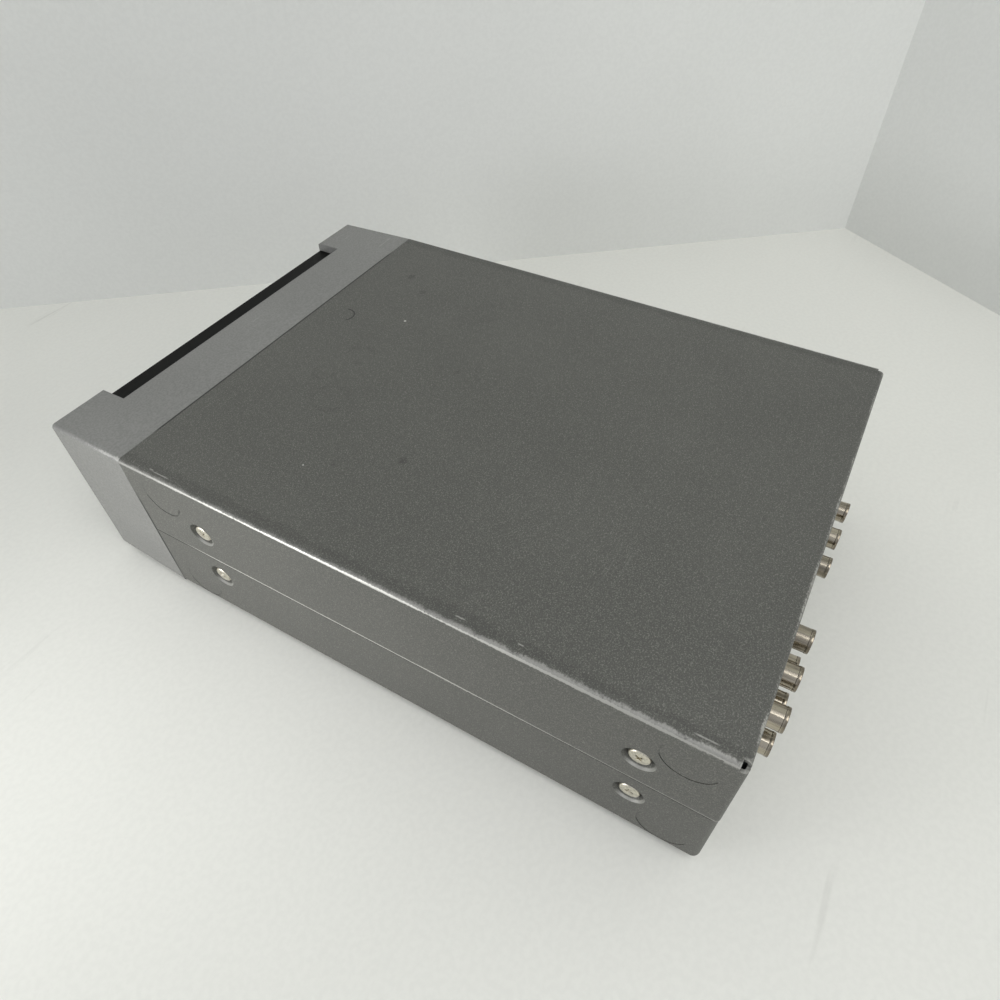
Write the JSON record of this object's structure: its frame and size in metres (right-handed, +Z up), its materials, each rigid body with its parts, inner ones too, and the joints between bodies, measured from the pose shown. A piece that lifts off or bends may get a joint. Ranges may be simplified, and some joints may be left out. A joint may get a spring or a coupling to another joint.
{
  "type": "video cassette recorder",
  "caption": "Compact desktop HDV video cassette recorder with a folded metal case, a front cassette door, a drop-down control lid, a tape mechanism and rear phono sockets",
  "frame": {"origin": "under the middle of the whole recorder, on the surface that its feet stand on", "axes": "+X its right side seen from the front, -Y its front, +Z up"},
  "size_m": [0.178, 0.2664, 0.0728],
  "materials": {
    "cover_paint": "speckled satin grey paint, worn at the bends",
    "bezel_plastic": "fine-textured grey plastic",
    "panel_black": "black gloss plastic",
    "key_plastic": "satin dark grey plastic",
    "knob_plastic": "black satin plastic",
    "window_smoke": "smoked clear plastic",
    "display_glass": "dark glass tube",
    "foot_rubber": "black rubber",
    "screw_steel": "zinc-plated steel",
    "rear_paint": "black satin paint",
    "jack_nickel": "nickel plate",
    "jack_colours": "coloured insulator plastic",
    "socket_plastic": "black moulded plastic",
    "board_green": "green circuit board",
    "chip_black": "black component resin",
    "tin_sheet": "tinned sheet",
    "chassis_steel": "zinc-plated sheet steel",
    "drum_aluminium": "turned aluminium",
    "capstan_metal": "turned brass",
    "reel_plastic": "white acetal",
    "roller_rubber": "black rubber",
    "motor_case": "plated motor can",
    "ribbon_film": "white flat cable"
  },
  "bodies": {
    "case": {"capstan_bearing": "capstan_metal", "carriage_frame": "chassis_steel", "case_screws": "screw_steel", "chassis_frame": "chassis_steel", "converter_board": "board_green", "converter_parts": "chip_black", "dc_inlet": "socket_plastic", "digital_socket": "socket_plastic", "display_module": "display_glass", "display_window": "window_smoke", "ear_switch_boards": "board_green", "front_bezel": "bezel_plastic", "front_board": "board_green", "front_panel": "panel_black", "front_ribbon": "ribbon_film", "inner_screws": "screw_steel", "jack_block": "socket_plastic", "jack_board": "board_green", "jack_inserts": "jack_colours", "jack_shells": "jack_nickel", "loading_motor": "motor_case", "lower_cover": "cover_paint", "lower_drum": "drum_aluminium", "main_board": "board_green", "main_board_parts": "chip_black", "mechanism_plate": "chassis_steel", "phones_socket": "socket_plastic", "rear_panel": "rear_paint", "remote_sockets": "socket_plastic", "rubber_feet": "foot_rubber", "s_video_sockets": "socket_plastic", "shield_can": "tin_sheet", "upper_cover": "cover_paint"},
    "cassette_door": {"cassette_door": "panel_black", "door_pin": "screw_steel"},
    "power_button": {"power_button": "key_plastic"},
    "eject_button": {"eject_button": "key_plastic"},
    "rewind_button": {"rewind_button": "key_plastic"},
    "play_button": {"play_button": "key_plastic"},
    "fast_forward_button": {"fast_forward_button": "key_plastic"},
    "stop_button": {"stop_button": "key_plastic"},
    "pause_button": {"pause_button": "key_plastic"},
    "record_button": {"record_button": "key_plastic"},
    "left_level_knob": {"left_level_knob": "knob_plastic"},
    "right_level_knob": {"right_level_knob": "knob_plastic"},
    "phones_level_knob": {"phones_level_knob": "knob_plastic"},
    "input_switch": {"input_switch": "knob_plastic"},
    "control_lid": {"control_lid": "panel_black"},
    "loading_slider": {"loading_slider": "chassis_steel"},
    "cassette_holder": {"cassette_holder": "chassis_steel"},
    "upper_drum": {"upper_drum": "drum_aluminium"},
    "capstan_flywheel": {"capstan_flywheel": "capstan_metal"},
    "pinch_arm": {"pinch_arm": "chassis_steel"},
    "pinch_roller": {"pinch_roller": "roller_rubber"},
    "supply_reel_table": {"supply_reel_table": "reel_plastic"},
    "takeup_reel_table": {"takeup_reel_table": "reel_plastic"},
    "cam_gear": {"cam_gear": "reel_plastic"},
    "supply_guide": {"supply_guide": "chassis_steel"},
    "takeup_guide": {"takeup_guide": "chassis_steel"},
    "tension_arm": {"tension_arm": "chassis_steel"}
  },
  "joints": [
    {"name": "door_swing", "type": "hinge", "parent": "case", "child": "cassette_door", "pos_m": [0, -0.13095, 0.0638], "axis": [1, 0, 0], "range_deg": [0, 85], "stiffness_Nm_per_rad": 0.003, "springref_deg": -34.38},
    {"name": "lid_fold", "type": "hinge", "parent": "case", "child": "control_lid", "pos_m": [0, -0.13155, 0.011], "axis": [1, 0, 0], "range_deg": [0, 90]},
    {"name": "power_press", "type": "slide", "parent": "case", "child": "power_button", "axis": [0, 1, 0], "range_m": [0, 0.0008], "stiffness_N_per_m": 300, "springref_m": -0.001},
    {"name": "eject_press", "type": "slide", "parent": "case", "child": "eject_button", "axis": [0, 1, 0], "range_m": [0, 0.0008], "stiffness_N_per_m": 300, "springref_m": -0.001},
    {"name": "rewind_press", "type": "slide", "parent": "case", "child": "rewind_button", "axis": [0, 1, 0], "range_m": [0, 0.0008], "stiffness_N_per_m": 300, "springref_m": -0.001},
    {"name": "play_press", "type": "slide", "parent": "case", "child": "play_button", "axis": [0, 1, 0], "range_m": [0, 0.0008], "stiffness_N_per_m": 300, "springref_m": -0.001},
    {"name": "fast_forward_press", "type": "slide", "parent": "case", "child": "fast_forward_button", "axis": [0, 1, 0], "range_m": [0, 0.0008], "stiffness_N_per_m": 300, "springref_m": -0.001},
    {"name": "stop_press", "type": "slide", "parent": "case", "child": "stop_button", "axis": [0, 1, 0], "range_m": [0, 0.0008], "stiffness_N_per_m": 300, "springref_m": -0.001},
    {"name": "pause_press", "type": "slide", "parent": "case", "child": "pause_button", "axis": [0, 1, 0], "range_m": [0, 0.0008], "stiffness_N_per_m": 300, "springref_m": -0.001},
    {"name": "record_press", "type": "slide", "parent": "case", "child": "record_button", "axis": [0, 1, 0], "range_m": [0, 0.0008], "stiffness_N_per_m": 300, "springref_m": -0.001},
    {"name": "left_level_turn", "type": "hinge", "parent": "case", "child": "left_level_knob", "pos_m": [-0.046, -0.127, 0.0164], "axis": [0, 1, 0], "range_deg": [-150, 150]},
    {"name": "right_level_turn", "type": "hinge", "parent": "case", "child": "right_level_knob", "pos_m": [-0.031, -0.127, 0.0164], "axis": [0, 1, 0], "range_deg": [-150, 150]},
    {"name": "phones_level_turn", "type": "hinge", "parent": "case", "child": "phones_level_knob", "pos_m": [0.028, -0.127, 0.0164], "axis": [0, 1, 0], "range_deg": [-150, 150]},
    {"name": "input_slide", "type": "slide", "parent": "case", "child": "input_switch", "axis": [1, 0, 0], "range_m": [0, 0.0045]},
    {"name": "loading_travel", "type": "slide", "parent": "case", "child": "loading_slider", "axis": [0, 1, 0], "range_m": [0, 0.04]},
    {"name": "holder_drop", "type": "slide", "parent": "loading_slider", "child": "cassette_holder", "axis": [0, 0, -1], "range_m": [0, 0.011]},
    {"name": "drum_spin", "type": "hinge", "parent": "case", "child": "upper_drum", "pos_m": [0, 0.02, 0.05], "axis": [0, 0, 1], "continuous": true},
    {"name": "capstan_spin", "type": "hinge", "parent": "case", "child": "capstan_flywheel", "pos_m": [0.034, 0.016, 0.04], "axis": [0, 0, 1], "continuous": true},
    {"name": "cam_turn", "type": "hinge", "parent": "case", "child": "cam_gear", "pos_m": [-0.038, 0.022, 0.037], "axis": [0, 0, 1], "range_deg": [0, 180]},
    {"name": "pinch_swing", "type": "hinge", "parent": "case", "child": "pinch_arm", "pos_m": [0.05, 0.026, 0.039], "axis": [0, 0, 1], "range_deg": [-20, 0]},
    {"name": "roller_spin", "type": "hinge", "parent": "pinch_arm", "child": "pinch_roller", "pos_m": [0.04446, 0.0111, 0.045], "axis": [0, 0, 1], "continuous": true},
    {"name": "supply_spin", "type": "hinge", "parent": "case", "child": "supply_reel_table", "pos_m": [-0.0307, -0.043, 0.038], "axis": [0, 0, 1], "continuous": true},
    {"name": "takeup_spin", "type": "hinge", "parent": "case", "child": "takeup_reel_table", "pos_m": [0.0307, -0.043, 0.038], "axis": [0, 0, 1], "continuous": true},
    {"name": "supply_guide_travel", "type": "slide", "parent": "case", "child": "supply_guide", "axis": [0, 1, 0], "range_m": [0, 0.032]},
    {"name": "takeup_guide_travel", "type": "slide", "parent": "case", "child": "takeup_guide", "axis": [0, 1, 0], "range_m": [0, 0.032]},
    {"name": "tension_swing", "type": "hinge", "parent": "case", "child": "tension_arm", "pos_m": [-0.046, -0.002, 0.036], "axis": [0, 0, 1], "range_deg": [0, 25], "stiffness_Nm_per_rad": 0.002, "springref_deg": -22.92}
  ],
  "couplings": [
    {"joint": "holder_drop", "follows": "loading_travel", "ratio": 0.2749},
    {"joint": "takeup_guide_travel", "follows": "supply_guide_travel", "ratio": 1},
    {"joint": "cam_turn", "follows": "supply_guide_travel", "rad_per_m": 98.17},
    {"joint": "pinch_swing", "follows": "supply_guide_travel", "rad_per_m": -10.9}
  ]
}
